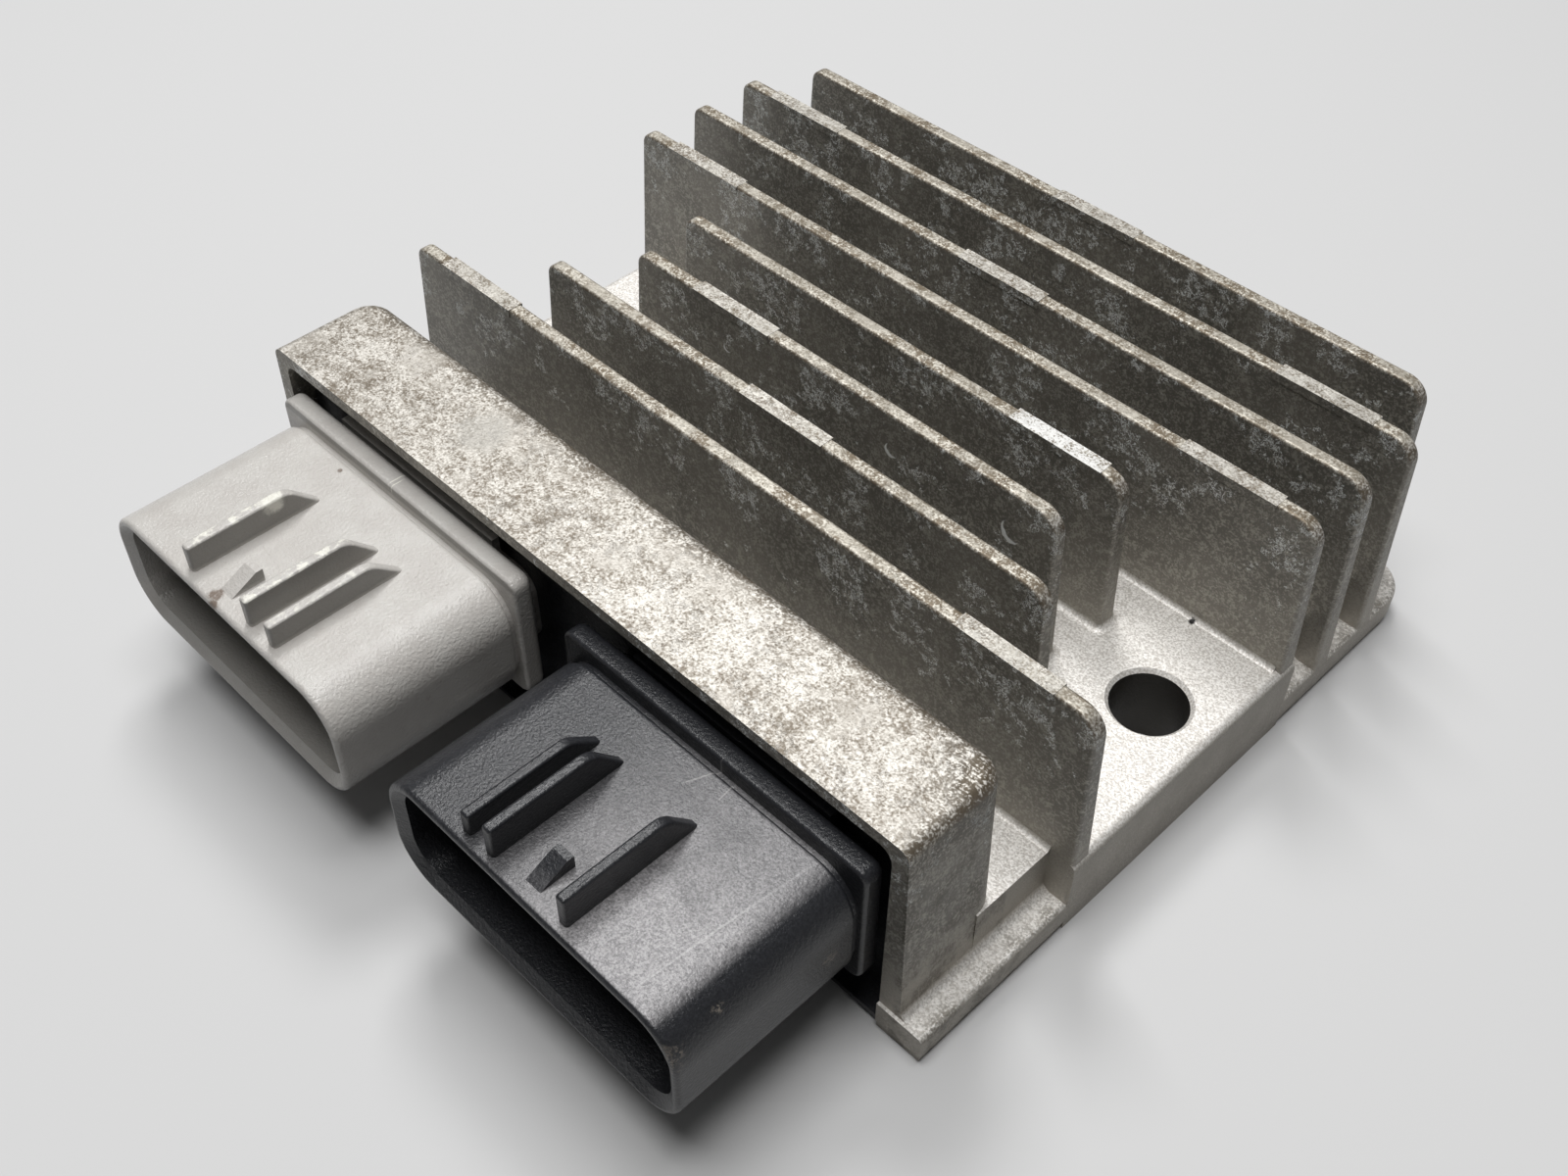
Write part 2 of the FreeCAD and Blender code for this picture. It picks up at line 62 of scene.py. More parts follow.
def add(tree, kind, sockets, **settings):
    """Adds a node, where sockets gives each input a value or the output that feeds it."""
    made = tree.nodes.new(kind)
    for key, value in settings.items():
        setattr(made, key, value)
    for key, value in sockets.items():
        if isinstance(value, bpy.types.NodeSocket):
            tree.links.new(value, made.inputs[key])
        else:
            made.inputs[key].default_value = value
    return made


def calc(tree, operation, first, second=0.0, third=0.0):
    """One arithmetic step."""
    return add(tree, "ShaderNodeMath", {0: first, 1: second, 2: third},
               operation=operation).outputs["Value"]


floor_mesh = bpy.data.meshes.new("floor")
floor_mesh.from_pydata([(-floor_half, -floor_half, 0), (floor_half, -floor_half, 0),
                        (floor_half, floor_half, 0), (-floor_half, floor_half, 0)], [], [(0, 1, 2, 3)])
floor = bpy.data.objects.new("floor", floor_mesh)
scene.collection.objects.link(floor)
floor_paint = bpy.data.materials.new("floor_paint")
floor_paint.use_nodes = True
tree = floor_paint.node_tree
shader = tree.nodes["Principled BSDF"]
ray = tree.nodes.new("ShaderNodeLightPath").outputs
seen = calc(tree, "MAXIMUM", ray["Is Camera Ray"], ray["Is Glossy Ray"])
seen = calc(tree, "MAXIMUM", seen, ray["Is Transmission Ray"])
shade = add(tree, "ShaderNodeMapRange", {"Value": seen, "To Min": floor_bounce, "To Max": floor_shade})
tree.links.new(shade.outputs["Result"], shader.inputs["Base Color"])
shader.inputs["Roughness"].default_value = floor_roughness
shader.inputs["Specular IOR Level"].default_value = floor_gloss
floor_mesh.materials.append(floor_paint)

for lamp_name, lamp_place, lamp_width, lamp_power in lamps:
    lamp_data = bpy.data.lights.new(lamp_name, "AREA")
    lamp_data.size = lamp_width
    lamp_data.energy = lamp_power
    lamp = bpy.data.objects.new(lamp_name, lamp_data)
    lamp.location = lamp_place
    lamp.rotation_euler = Vector(lamp_place).to_track_quat("Z", "Y").to_euler()
    scene.collection.objects.link(lamp)
room = bpy.data.worlds.new("room")
room.use_nodes = True
room.node_tree.nodes["Background"].inputs["Color"].default_value = (room_shade, room_shade, room_shade, 1)
scene.world = room


# Casting: the whole heatsink, die cast in one piece of aluminium and left raw.
# Faces that look up are bright and sandy, the low floor painted paler still as painted light, walls are a
# dull grey-brown darkened further as painted shade, and pale oxide flecks gather on the upper halves of the
# fins, with painted glints on three dents. Tips and rims are rubbed and stained; the tips' crest faces also
# carry a painted highlight and the rims painted shade on their rounded edges.
def paint(red, green, blue):
    """Colour from display values of 0 to 255, by the usual curve of screens."""
    def linear(value):
        share = value / 255
        return share / 12.92 if share <= 0.04045 else ((share + 0.055) / 1.055) ** 2.4
    return (linear(red), linear(green), linear(blue), 1)


def noise(tree, place, scale, detail, roughness=0.5, distortion=0.0):
    """Cloudy noise around one half, with scale in cycles a metre."""
    return add(tree, "ShaderNodeTexNoise", {"Vector": place, "Scale": scale, "Detail": detail,
                                            "Roughness": roughness, "Distortion": distortion}).outputs["Fac"]


def ramp(tree, value, low, high):
    """Smooth step from 0 at low to 1 at high."""
    return add(tree, "ShaderNodeMapRange", {"Value": value, "From Min": low, "From Max": high},
               interpolation_type="SMOOTHSTEP").outputs["Result"]


def fall(tree, value, low, high):
    """Smooth step from 1 at low to 0 at high."""
    return add(tree, "ShaderNodeMapRange", {"Value": value, "From Min": low, "From Max": high,
                                            "To Min": 1.0, "To Max": 0.0},
               interpolation_type="SMOOTHSTEP").outputs["Result"]


def times(tree, *values):
    """Product of several numbers."""
    product = values[0]
    for value in values[1:]:
        product = calc(tree, "MULTIPLY", product, value)
    return product


def weigh(tree, parts, base=0.0):
    """Base plus the weighted sum of several numbers, given as pairs of number and weight."""
    whole = base
    for value, weight in parts:
        whole = calc(tree, "MULTIPLY_ADD", value, weight, whole)
    return whole


def gather(tree, masks):
    """Largest of several masks."""
    whole = masks[0]
    for mask in masks[1:]:
        whole = calc(tree, "MAXIMUM", whole, mask)
    return whole


def mix(tree, share, first, second):
    """Blend of two colours."""
    return add(tree, "ShaderNodeMix", {0: share, 6: first, 7: second}, data_type="RGBA").outputs[2]


def split(tree, vector):
    """The three parts of a vector."""
    return add(tree, "ShaderNodeSeparateXYZ", {"Vector": vector}).outputs


def distance(tree, place, centre):
    """Distance from a point, in metres."""
    return add(tree, "ShaderNodeVectorMath", {0: place, 1: centre},
               operation="DISTANCE").outputs["Value"]


def new_group(name, inputs):
    """Empty node group that gives a mask. Inputs with no value are vectors, the others numbers."""
    tree = bpy.data.node_groups.new(name, "ShaderNodeTree")
    for socket_name, value in inputs.items():
        kind = "NodeSocketVector" if value is None else "NodeSocketFloat"
        socket = tree.interface.new_socket(socket_name, in_out="INPUT", socket_type=kind)
        if value is not None:
            socket.default_value = value
    tree.interface.new_socket("Mask", in_out="OUTPUT", socket_type="NodeSocketFloat")
    return tree, tree.nodes.new("NodeGroupInput").outputs, tree.nodes.new("NodeGroupOutput").inputs


def place_group(tree, group, sockets):
    """Places a group in a tree and gives its mask."""
    return add(tree, "ShaderNodeGroup", sockets, node_tree=group).outputs["Mask"]


# flecks: thin curly lines, where one noise crosses one half, shown only where a wider noise is
# over a cut, and the cut comes down as the density goes up
curl_line = (0.015, 0.060)
clump_size = 0.45
clump_edge = (0.0, 0.07)
highest_cut, cut_by_density = 0.70, -0.26
flecks_group, taken, given = new_group("flecks", {"Place": None, "Scale": 900.0, "Density": 0.5})
cloud = noise(flecks_group, taken["Place"], taken["Scale"], 3.0, 0.62, 1.0)
curl = calc(flecks_group, "ABSOLUTE", calc(flecks_group, "SUBTRACT", cloud, 0.5))
clump = noise(flecks_group, taken["Place"], times(flecks_group, taken["Scale"], clump_size), 4.0, 0.7)
cut = weigh(flecks_group, ((taken["Density"], cut_by_density),), highest_cut)
over = calc(flecks_group, "SUBTRACT", clump, cut)
mask = times(flecks_group, fall(flecks_group, curl, *curl_line), ramp(flecks_group, over, *clump_edge))
flecks_group.links.new(mask, given["Mask"])

# stain: a soft disc, whose edge a noise pushes in and out by a share of the radius
fray_per_radius = 1.6
solid_share = 0.45
stain_group, taken, given = new_group("stain", {"Place": None, "Centre": None, "Radius": 0.001, "Fray": 0.0})
fray_scale = calc(stain_group, "DIVIDE", fray_per_radius, taken["Radius"])
cloud = noise(stain_group, taken["Place"], fray_scale, 4.0, 0.65)
swing = times(stain_group, taken["Fray"], taken["Radius"])
away = distance(stain_group, taken["Place"], taken["Centre"])
away = calc(stain_group, "MULTIPLY_ADD", weigh(stain_group, ((cloud, 2.0),), -1.0), swing, away)
mask = fall(stain_group, away, times(stain_group, taken["Radius"], solid_share), taken["Radius"])
stain_group.links.new(mask, given["Mask"])


def spot(tree, place, centre, radius, fray=0.0):
    """Stain of 1 in the middle and 0 from the radius on, its edge frayed by a share of the radius."""
    return place_group(tree, stain_group, {"Place": place, "Centre": centre, "Radius": radius, "Fray": fray})


# hairline: a thin line along a sphere's skin, shown only within reach of a middle point
line_core = 0.3
hairline_group, taken, given = new_group("hairline", {"Place": None, "Centre": None, "Radius": 0.01,
                                                      "Width": 0.0001, "Middle": None, "Reach": 0.002})
away = distance(hairline_group, taken["Place"], taken["Centre"])
off = calc(hairline_group, "ABSOLUTE", calc(hairline_group, "SUBTRACT", away, taken["Radius"]))
line = fall(hairline_group, off, times(hairline_group, taken["Width"], line_core), taken["Width"])
near = spot(hairline_group, taken["Place"], taken["Middle"], taken["Reach"])
hairline_group.links.new(times(hairline_group, line, near), given["Mask"])


def arc(tree, place, centre, radius, width, middle, reach):
    """Thin line along a circle, seen only within reach of a middle point."""
    return place_group(tree, hairline_group, {"Place": place, "Centre": centre, "Radius": radius,
                                              "Width": width, "Middle": middle, "Reach": reach})


# mottle: cloudy noise, cut to 0 below low and to 1 above high
mottle_group, taken, given = new_group("mottle", {"Place": None, "Scale": 1000.0, "Detail": 3.0,
                                                  "Roughness": 0.5, "Low": 0.4, "High": 0.6})
cloud = noise(mottle_group, taken["Place"], taken["Scale"], taken["Detail"], taken["Roughness"])
mottle_group.links.new(ramp(mottle_group, cloud, taken["Low"], taken["High"]), given["Mask"])


def mottle(tree, place, scale, detail, roughness, low, high):
    """Clouds of a given scale, in cycles a metre."""
    return place_group(tree, mottle_group, {"Place": place, "Scale": scale, "Detail": detail,
                                            "Roughness": roughness, "Low": low, "High": high})


def crescent(tree, place, centre, radius):
    """Thin sickle: a frayed disc less a disc of the same size that is shifted to its upper right."""
    shift = (0.30 * radius, 0.0, 0.34 * radius)
    shifted = [centre[axis] + shift[axis] for axis in range(3)]
    fray = weigh(tree, ((noise(tree, place, 1.2 / radius, 3.0, 0.6), 0.5 * radius),), -0.25 * radius)
    inside = calc(tree, "ADD", distance(tree, place, centre), fray)
    outside = calc(tree, "ADD", distance(tree, place, shifted), fray)
    return times(tree, fall(tree, inside, 0.88 * radius, radius),
                 ramp(tree, outside, 0.92 * radius, 1.05 * radius))


def new_material(name, roughness, metallic):
    """Material with its roughness and metallic set, and its tree, shader and place on the piece."""
    material = bpy.data.materials.new(name)
    material.use_nodes = True
    tree = material.node_tree
    shader = tree.nodes["Principled BSDF"]
    shader.inputs["Roughness"].default_value = roughness
    shader.inputs["Metallic"].default_value = metallic
    return material, tree, shader, tree.nodes.new("ShaderNodeTexCoord").outputs["Object"]


def upward_share(tree):
    """How far a face looks up: 1 on level tops, 0 on upright walls, -1 underneath."""
    return split(tree, tree.nodes.new("ShaderNodeNewGeometry").outputs["Normal"])["Z"]


def relief(tree, shader, height, strength, depth):
    """Feeds a height into the shader's normal, with depth in metres."""
    bump = add(tree, "ShaderNodeBump", {"Height": height, "Strength": strength, "Distance": depth})
    tree.links.new(bump.outputs["Normal"], shader.inputs["Normal"])


def dress(names, material):
    """Puts a material on CAD nodes."""
    for name in names:
        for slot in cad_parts[name].material_slots:
            slot.material = material


casting_roughness = 0.48
casting_metallic = 0.35
cast_relief = (0.7, 0.00012)
aluminium, tree, shader, place = new_material("raw_die_cast_aluminium", casting_roughness, casting_metallic)
facing = upward_share(tree)
axes = split(tree, place)

# the cast skin's grain, from tenths of a millimetre up, and the wider clouds that tint it
fine = noise(tree, place, 4600.0, 2.0, 0.6)
medium = noise(tree, place, 2300.0, 4.0, 0.72, 0.5)
coarse = noise(tree, place, 850.0, 3.0, 0.6, 0.5)
patches = noise(tree, place, 260.0, 4.0, 0.6)
broad = noise(tree, place, 70.0, 3.0, 0.5)
grain = weigh(tree, ((fine, 0.3), (medium, 0.45), (coarse, 0.25)))
clouded_grain = weigh(tree, ((patches, 0.25), (broad, 0.15), (grain, 1.0)), -0.20)

# bands in which one part of the casting gives way to the next, in metres
base_to_box_top = (0.010, 0.024)
box_top_to_fin_tip = (0.0272, 0.0278)
fin_tip_to_pad = (0.02802, 0.02804)
ledge_to_base = (0.0044, 0.0050)
box_to_fins = (-0.0262, -0.0256)
box_front_to_end = (0.0425, 0.0432)
raised = ramp(tree, axes["Z"], *base_to_box_top)
tips = ramp(tree, axes["Z"], *box_top_to_fin_tip)
tip_pads = ramp(tree, axes["Z"], *fin_tip_to_pad)
ledge = fall(tree, axes["Z"], *ledge_to_base)
box_depth = fall(tree, axes["Y"], *box_to_fins)
box_end = ramp(tree, axes["X"], *box_front_to_end)

# the same three axes, frayed by the patches, for the edges of stains
fray_x, fray_y, fray_z = 0.010, 0.006, 0.008
frayed_x = calc(tree, "MULTIPLY_ADD", patches, fray_x, axes["X"])
frayed_y = calc(tree, "MULTIPLY_ADD", patches, fray_y, axes["Y"])
frayed_z = calc(tree, "MULTIPLY_ADD", patches, fray_z, axes["Z"])

# sandy tops: strongly mottled on the box and the tips, calmer and paler on the floor between the ears, where
# the paler paint is painted light
box_hollow, box_grit = paint(122, 112, 98), paint(228, 224, 216)
tip_hollow, tip_grit = paint(128, 119, 104), paint(220, 215, 203)
# the low floor's near-white paint is painted light
lit_low_hollow, lit_low_grit = paint(206, 201, 194), paint(255, 252, 247)
speck_brown = paint(112, 102, 88)
calm_clouds = (150.0, 4.0, 0.6, 0.52, 0.62)
speck_clouds = (2500.0, 3.0, 0.6, 0.60, 0.68)
sand_middle = 0.62
calm = times(tree, mottle(tree, place, *calm_clouds), 0.55)
sand = add(tree, "ShaderNodeMix", {0: calm, 2: ramp(tree, clouded_grain, 0.37, 0.62), 3: sand_middle},
           data_type="FLOAT").outputs[0]
low_sand = ramp(tree, weigh(tree, ((grain, 0.5), (fine, 0.5))), 0.38, 0.62)
box_face = mix(tree, sand, box_hollow, box_grit)
tip_face = mix(tree, sand, tip_hollow, tip_grit)
lit_low_face = mix(tree, low_sand, lit_low_hollow, lit_low_grit)
top_colour = mix(tree, raised, lit_low_face, mix(tree, tips, box_face, tip_face))
specks = times(tree, raised, mottle(tree, place, *speck_clouds), 0.7)
top_colour = mix(tree, specks, top_colour, speck_brown)

# brown stains along the box's rear rim, over its ends, in its rear right corner and on the ledge's rim
rear_rim_band = (-0.0268, -0.0246)
right_end_band = (0.0445, 0.0485)
left_end_band = (-0.0380, -0.0300)
rear_corner_stain = ((0.0430, -0.0290, 0.0262), 0.0060, 0.5)
ledge_right_band = (0.0495, 0.0525)
ledge_front_band = (-0.0385, -0.0365)
box_soil, ledge_soil = paint(92, 82, 67), paint(112, 104, 90)
rear_rim = times(tree, ramp(tree, frayed_y, *rear_rim_band), 0.75)
right_end = times(tree, ramp(tree, frayed_x, *right_end_band), 0.9)
left_end = times(tree, fall(tree, frayed_x, *left_end_band), 0.25)
rear_corner = spot(tree, place, *rear_corner_stain)
soiled = times(tree, gather(tree, [rear_rim, right_end, left_end, rear_corner]), raised, box_depth,
               fall(tree, grain, 0.47, 0.58))
top_colour = mix(tree, soiled, top_colour, box_soil)
ledge_rim = gather(tree, [ramp(tree, frayed_x, *ledge_right_band), fall(tree, frayed_y, *ledge_front_band)])
ledge_rim = times(tree, ledge_rim, ledge, 0.7, fall(tree, grain, 0.46, 0.60))
top_colour = mix(tree, ledge_rim, top_colour, ledge_soil)

# a spot worn bare on the box, and the fins' stained tips
worn_spot = ((-0.0180, -0.0325, 0.0269), 0.0036, 0.5)
worn_grey, tip_soil = paint(178, 175, 168), paint(112, 99, 80)
worn = times(tree, spot(tree, place, *worn_spot), 0.6)
top_colour = mix(tree, worn, top_colour, worn_grey)
tip_stain = times(tree, tips, ramp(tree, patches, 0.44, 0.58), fall(tree, grain, 0.47, 0.58), 0.9)
top_colour = mix(tree, tip_stain, top_colour, tip_soil)

# faint turned rings around the hole on the right, and a black casting pit behind it
hole_x = 0.0395
ring_radii = (0.0053, 0.0064)
ring_width = 0.00022
ring_middle = (hole_x, 0.0, 0.0095)
ring_reach = 0.02
casting_pit = ((0.03615, 0.01130, 0.0096), 0.0005, 0.5)
ring_grey, pit_black = paint(120, 112, 102), paint(20, 18, 16)
rings = gather(tree, [arc(tree, place, ring_middle, radius, ring_width, ring_middle, ring_reach)
                      for radius in ring_radii])
rings = times(tree, rings, ramp(tree, patches, 0.40, 0.60), 0.15)
top_colour = mix(tree, rings, top_colour, ring_grey)
top_colour = mix(tree, spot(tree, place, *casting_pit), top_colour, pit_black)

# ejector pads on the tips, rubbed bright and painted near white as a painted highlight, the one on the
# fourth fin most of all
rubbed_and_lit_pad = ((0.0215, 0.0050, 0.0280), 0.0080, 0.3)
pad_highlight_white = paint(240, 240, 238)
pad_wear_and_highlight = weigh(tree, ((spot(tree, place, *rubbed_and_lit_pad), 0.6),), 0.25)
pad_wear_and_highlight = times(tree, tip_pads, ramp(tree, grain, 0.40, 0.52), pad_wear_and_highlight)
top_colour = mix(tree, pad_wear_and_highlight, top_colour, pad_highlight_white)

# dull grey-brown walls, darkened further as painted shade; paler and sandy on the base, which is painted
# light there; and painted dark inside the holes as painted shade
shaded_wall_dark, shaded_wall_light, wall_grit = paint(119, 116, 109), paint(138, 134, 126), paint(174, 170, 160)
lit_base_dark, lit_base_light, base_soil = paint(166, 160, 150), paint(200, 195, 186), paint(138, 131, 119)
bore_shade = paint(66, 63, 58)
base_to_wall = (0.004, 0.014)
hole_radius = 0.0039
bore_skin = (hole_radius + 0.00005, hole_radius + 0.00015)
shaded_wall_tone = mix(tree, ramp(tree, broad, 0.38, 0.62), shaded_wall_dark, shaded_wall_light)
shaded_wall_tone = mix(tree, ramp(tree, grain, 0.46, 0.60), shaded_wall_tone, wall_grit)
lit_low_wall = mix(tree, low_sand, lit_base_dark, lit_base_light)
lit_low_wall = mix(tree, times(tree, ramp(tree, clouded_grain, 0.48, 0.58), 0.5), lit_low_wall, base_soil)
shaded_wall_tone = mix(tree, ramp(tree, axes["Z"], *base_to_wall), lit_low_wall, shaded_wall_tone)
folded = add(tree, "ShaderNodeCombineXYZ", {"X": calc(tree, "ABSOLUTE", axes["X"]),
                                            "Y": axes["Y"]}).outputs[0]
# the bore walls are painted dark: painted shade inside the holes
bore = fall(tree, distance(tree, folded, (hole_x, 0.0, 0.0)), *bore_skin)
shaded_wall_tone = mix(tree, bore, shaded_wall_tone, bore_shade)

# pale curly oxide flecks, thickest in clouds over the upper halves, and painted glints on three
# crescent dents in the third fin
fleck_scale = 2100.0
fleck_rise = (0.012, 0.026)
bloom_clouds = (190.0, 5.0, 0.65, 0.40, 0.60)
dent_glints = (((-0.01456, -0.00383, 0.02325), 0.0006), ((0.00845, -0.00383, 0.02383), 0.0009),
         ((0.02358, -0.00383, 0.02336), 0.0013))
oxide_and_glint_white = paint(246, 248, 246)
bloom = times(tree, ramp(tree, axes["Z"], *fleck_rise), mottle(tree, place, *bloom_clouds))
density = weigh(tree, ((bloom, 0.95),), 0.06)
flecks = place_group(tree, flecks_group, {"Place": place, "Scale": fleck_scale, "Density": density})
pale = gather(tree, [flecks] + [crescent(tree, place, middle, radius) for middle, radius in dent_glints])
wall_colour = mix(tree, pale, shaded_wall_tone, oxide_and_glint_white)

# dark smears on the box's right end, heaviest under its top edge
smear_rise = (0.0245, 0.0290)
smear_brown = paint(70, 64, 52)
smear = gather(tree, [times(tree, ramp(tree, patches, 0.44, 0.58), 0.55),
                      times(tree, ramp(tree, frayed_z, *smear_rise), 0.90)])
smear = times(tree, smear, box_end, box_depth, fall(tree, grain, 0.46, 0.62))
wall_colour = mix(tree, smear, wall_colour, smear_brown)

# rubbed brown rims where a high wall turns into a top face, which also paint shade onto the rounded edges
rim_height = (0.0235, 0.0255)
rim_brown_and_shade = paint(104, 94, 80)
rim = times(tree, ramp(tree, facing, 0.10, 0.35), fall(tree, facing, 0.65, 0.97))
rim_stain_and_shade = times(tree, rim, ramp(tree, axes["Z"], *rim_height), fall(tree, grain, 0.42, 0.60))
# walls take the darker wall colour and upward faces the top colour, so the walls carry painted shade
colour = mix(tree, ramp(tree, facing, 0.25, 0.80), wall_colour, top_colour)
colour = mix(tree, rim_stain_and_shade, colour, rim_brown_and_shade)
tree.links.new(colour, shader.inputs["Base Color"])
tree.links.new(weigh(tree, ((pale, -casting_metallic),), casting_metallic), shader.inputs["Metallic"])
relief(tree, shader, weigh(tree, ((pale, 0.15),), grain), *cast_relief)
dress(["heatsink_housing"], aluminium)

# Stator connector: moulded in pale warm grey nylon with a slight gloss, and potted into the
# box by its flange. Its ribs and mouth are scuffed from years of plugging.
grey_roughness = 0.23
grey_relief = (0.85, 0.00013)
grey_dark, grey_light = paint(196, 192, 187), paint(202, 199, 194)
grey_clouds = (240.0, 5.0, 0.65, 0.38, 0.62)
shroud_top = 0.0216
grey_nylon, tree, shader, place = new_material("warm_grey_nylon", grey_roughness, 0.0)
facing = upward_share(tree)
axes = split(tree, place)
colour = mix(tree, mottle(tree, place, *grey_clouds), grey_dark, grey_light)

# rib sides and mouth floor painted darker, as painted shade
rib_foot = (shroud_top, shroud_top + 0.0005)
mouth_floor_height = (0.012, 0.014)
rib_and_mouth_shade_grey = paint(132, 130, 125)
sheltered = times(tree, fall(tree, facing, 0.2, 0.6), ramp(tree, axes["Z"], *rib_foot))
mouth_floor = times(tree, ramp(tree, facing, 0.2, 0.8), fall(tree, axes["Z"], *mouth_floor_height))
shadowed = times(tree, gather(tree, [sheltered, mouth_floor]), 0.75)
colour = mix(tree, shadowed, colour, rib_and_mouth_shade_grey)

# grime all over, with three dark spots: one near the flange, two by the latch wedge
grime_clouds = (1300.0, 5.0, 0.7, 0.62, 0.72)
dark_spots = (((-0.0285, -0.0424, shroud_top), 0.00035, 0.4),
              ((-0.0225, -0.0600, shroud_top), 0.0009, 0.6),
              ((-0.0218, -0.0609, 0.0214), 0.0008, 0.6))
grime_brown = paint(128, 116, 106)
grime = times(tree, mottle(tree, place, *grime_clouds), 0.30)
soot = gather(tree, [grime] + [spot(tree, place, *dark_spot) for dark_spot in dark_spots])
colour = mix(tree, soot, colour, grime_brown)

# scuffed rib crests, a burr on the left rib and two fine scratches over the flange
rib_crest = (0.0238, 0.0246)
scuff_clouds = (900.0, 4.0, 0.6, 0.48, 0.60)
burr = ((-0.0266, -0.0508, 0.0245), 0.0016, 0.6)
flange_scratches = (((-0.0324, -0.0398, 0.0225), 0.010, 0.00012, (-0.0224, -0.0398, 0.0225), 0.0013),
                    ((-0.0319, -0.0398, 0.0225), 0.010, 0.00010, (-0.0219, -0.0402, 0.0225), 0.0010))
scuff_white = paint(236, 234, 224)
crests = times(tree, ramp(tree, axes["Z"], *rib_crest), ramp(tree, facing, 0.2, 0.6),
               mottle(tree, place, *scuff_clouds))
scuffs = gather(tree, [crests, spot(tree, place, *burr)]
                + [arc(tree, place, *scratch) for scratch in flange_scratches])
colour = mix(tree, scuffs, colour, scuff_white)
tree.links.new(colour, shader.inputs["Base Color"])
relief(tree, shader, noise(tree, place, 3200.0, 3.0, 0.6), *grey_relief)
dress(["stator_connector"], grey_nylon)

# Output connector and dam: the same moulding in black nylon, its ribs keyed the other way, and
# the strip that closes the box below both flanges. The upper face is rubbed pale towards the right, and the
# paler paint there is also a painted sheen.
black_roughness = 0.28
black_relief = (0.7, 0.00012)
black_nylon, tree, shader, place = new_material("black_nylon", black_roughness, 0.0)
facing = upward_share(tree)
axes = split(tree, place)
upward = ramp(tree, facing, 0.3, 0.9)

# sparkle and a pale haze painted on the upper face, partly rubbed wear and partly a painted sheen, fading to
# the left and towards the flange
roof_low, roof_high = (0.0206, 0.0212), (0.0219, 0.0225)
sheen_haze_from_left = (0.011, 0.034)
sheen_haze_to_flange = (-0.0540, -0.0430)
sheen_haze_clouds = (160.0, 4.0, 0.6, 0.05, 0.55)
black, black_sparkle, haze_and_sheen_grey = paint(36, 37, 40), paint(92, 93, 98), paint(190, 187, 188)
roof = times(tree, fall(tree, axes["Z"], *roof_high), ramp(tree, axes["Z"], *roof_low))
rearward_fade = weigh(tree, ((ramp(tree, axes["Y"], *sheen_haze_to_flange), -0.45),), 1.0)
haze_and_sheen = times(tree, ramp(tree, facing, 0.85, 1.0), ramp(tree, axes["X"], *sheen_haze_from_left), roof,
             mottle(tree, place, *sheen_haze_clouds), rearward_fade)
sparkle = weigh(tree, ((noise(tree, place, 4800.0, 3.0, 0.75), 0.7),
                       (noise(tree, place, 1700.0, 5.0, 0.75), 0.3)))
sparkle = ramp(tree, sparkle, 0.38, 0.64)
colour = mix(tree, times(tree, upward, sparkle, 0.2), black, black_sparkle)
colour = mix(tree, times(tree, haze_and_sheen, weigh(tree, ((sparkle, 0.55),), 0.33)), colour, haze_and_sheen_grey)

# a faint mould line from the mouth to the flange, close to straight on its wide circle
mould_line = ((0.3337, -0.0782, shroud_top), 0.3, 0.00014, (0.0350, -0.0505, shroud_top), 0.0120)
mould_line_grey = paint(206, 204, 204)
seam = times(tree, haze_and_sheen, 0.35, arc(tree, place, *mould_line))
colour = mix(tree, seam, colour, mould_line_grey)

# dust on the rib crests and two curled scratches near the flange
crest_height = (0.0220, 0.0236)
dust_clouds = (3600.0, 2.0, 0.5, 0.70, 0.74)
curled_scratches = (
    ((0.0035, -0.0350, shroud_top), 0.0212, 0.00012, (0.0237, -0.0424, shroud_top), 0.0024),
    ((0.0140, -0.0440, shroud_top), 0.0120, 0.00010, (0.0258, -0.0422, shroud_top), 0.0016))
dust_grey = paint(180, 178, 176)
dust = times(tree, upward, mottle(tree, place, *dust_clouds), ramp(tree, axes["Z"], *crest_height))
scratches = gather(tree, [dust] + [arc(tree, place, *scratch) for scratch in curled_scratches])
colour = mix(tree, times(tree, scratches, 0.4), colour, dust_grey)

# chalky rub marks on the mouth's right corner and along the right rounded side
rub_marks = (((0.0386, -0.0606, 0.0186), 0.0017, 0.7), ((0.0401, -0.0444, 0.0151), 0.0010, 0.7),
             ((0.0394, -0.0556, 0.0200), 0.0008, 0.7))
chalk_clouds = (2600.0, 3.0, 0.7, 0.46, 0.58)
chalk_beige = paint(168, 158, 146)
chalk = times(tree, gather(tree, [spot(tree, place, *mark) for mark in rub_marks]),
              mottle(tree, place, *chalk_clouds), 0.55)
colour = mix(tree, chalk, colour, chalk_beige)
tree.links.new(colour, shader.inputs["Base Color"])
relief(tree, shader, noise(tree, place, 3200.0, 3.0, 0.65), *black_relief)
dress(["output_connector", "potting_dam"], black_nylon)


# Blades: three in each connector, stamped from brass strip and tinned, and moulded into the
# sockets' back walls. They are bright but a little dull from handling.
def two_tone(name, roughness, metallic, clouds, dark, light):
    """Material in two colours, in clouds given as scale, detail, roughness, low and high."""
    material, tree, shader, place = new_material(name, roughness, metallic)
    tree.links.new(mix(tree, mottle(tree, place, *clouds), dark, light), shader.inputs["Base Color"])
    return material, tree, shader, place


tin_dark, tin_light = paint(196, 190, 176), paint(214, 211, 204)
tin_clouds = (900.0, 4.0, 0.5, 0.4, 0.6)
tinned = two_tone("tinned_brass", 0.3, 1.0, tin_clouds, tin_dark, tin_light)[0]
dress(["%s_terminal_%d" % (side, number) for side in ("stator", "output") for number in (1, 2, 3)], tinned)

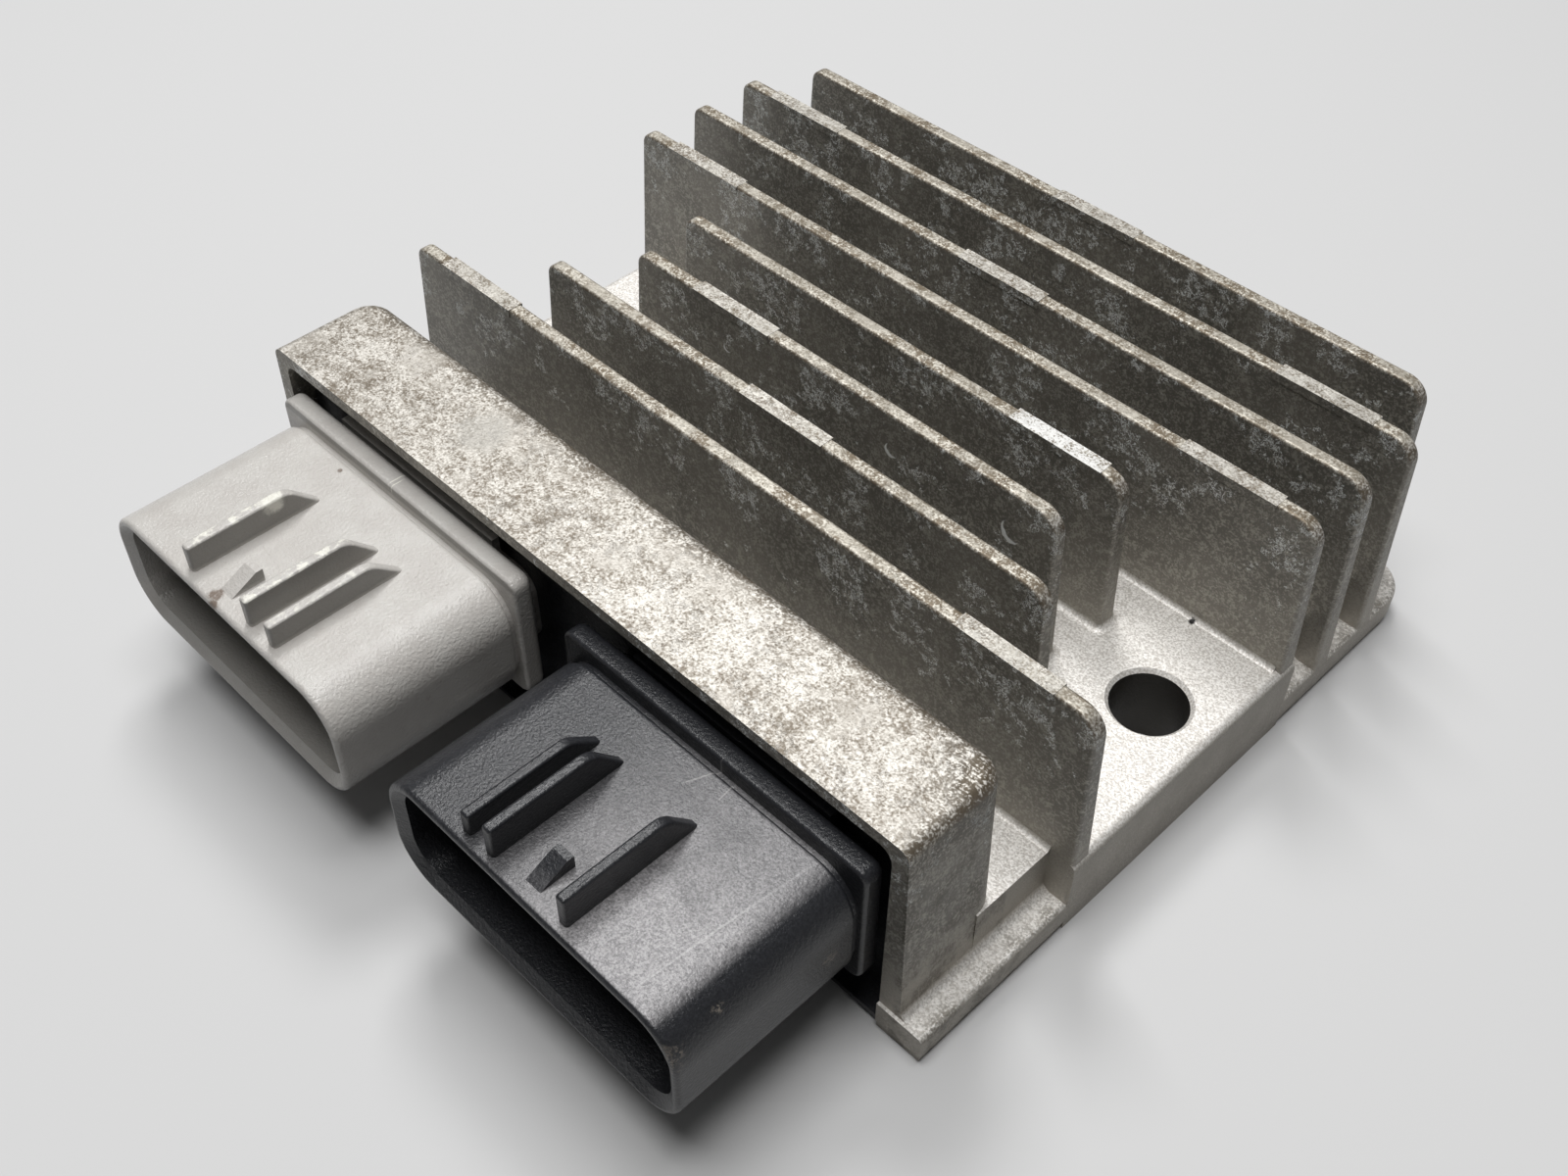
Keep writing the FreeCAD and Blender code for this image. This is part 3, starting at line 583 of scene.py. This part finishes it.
# Potting: black epoxy, poured into the pocket from below once the board is in.
# It sets glossy, with a faint orange peel.
epoxy_dark, epoxy_light = paint(28, 28, 29), paint(40, 40, 41)
epoxy_clouds = (60.0, 3.0, 0.5, 0.35, 0.65)
peel_relief = (0.3, 0.0003)
epoxy, tree, shader, place = two_tone("black_epoxy", 0.22, 0.0, epoxy_clouds, epoxy_dark, epoxy_light)
relief(tree, shader, noise(tree, place, 180.0, 2.0), *peel_relief)
dress(["potting_resin"], epoxy)

# Thermal sheet: grey silicone filled with white oxide, dull and slightly speckled.
# It is cut from a roll and lies between the bridge devices and the casting.
silicone_dark, silicone_light = paint(150, 150, 154), paint(190, 190, 192)
silicone_clouds = (1800.0, 3.0, 0.5, 0.45, 0.65)
silicone = two_tone("filled_silicone", 0.7, 0.0, silicone_clouds, silicone_dark, silicone_light)[0]
dress(["insulating_sheet"], silicone)

# Circuit board: green glass laminate, with the weave showing faintly through the lacquer.
# The blades' tails and the devices are soldered to it, and the potting holds it.
lacquer_dark, lacquer_light = paint(30, 78, 48), paint(38, 92, 58)
laminate, tree, shader, place = new_material("glass_laminate", 0.35, 0.0)
weave = add(tree, "ShaderNodeTexWave", {"Vector": place, "Scale": 320.0, "Distortion": 1.0}).outputs["Fac"]
tree.links.new(mix(tree, weave, lacquer_dark, lacquer_light), shader.inputs["Base Color"])
dress(["control_board"], laminate)

# Bridge devices and control chip: moulded in dull black epoxy with a fine matt grain.
# The six devices lie against the thermal sheet, and the chip is soldered to the board.
device_dark, device_light = paint(30, 30, 31), paint(52, 52, 53)
moulded, tree, shader, place = new_material("moulded_epoxy", 0.55, 0.0)
matt_grain = noise(tree, place, 2400.0, 3.0)
tree.links.new(mix(tree, matt_grain, device_dark, device_light), shader.inputs["Base Color"])
dress(["power_device_%d" % number for number in range(1, 7)] + ["control_chip"], moulded)

# Filter capacitors: fired tan ceramic with slightly darker clouds.
# Both are soldered to the board beside the chip.
tan_dark, tan_light = paint(168, 138, 100), paint(186, 156, 116)
tan_clouds = (700.0, 3.0, 0.5, 0.4, 0.6)
ceramic = two_tone("tan_ceramic", 0.45, 0.0, tan_clouds, tan_dark, tan_light)[0]
dress(["filter_capacitor_1", "filter_capacitor_2"], ceramic)
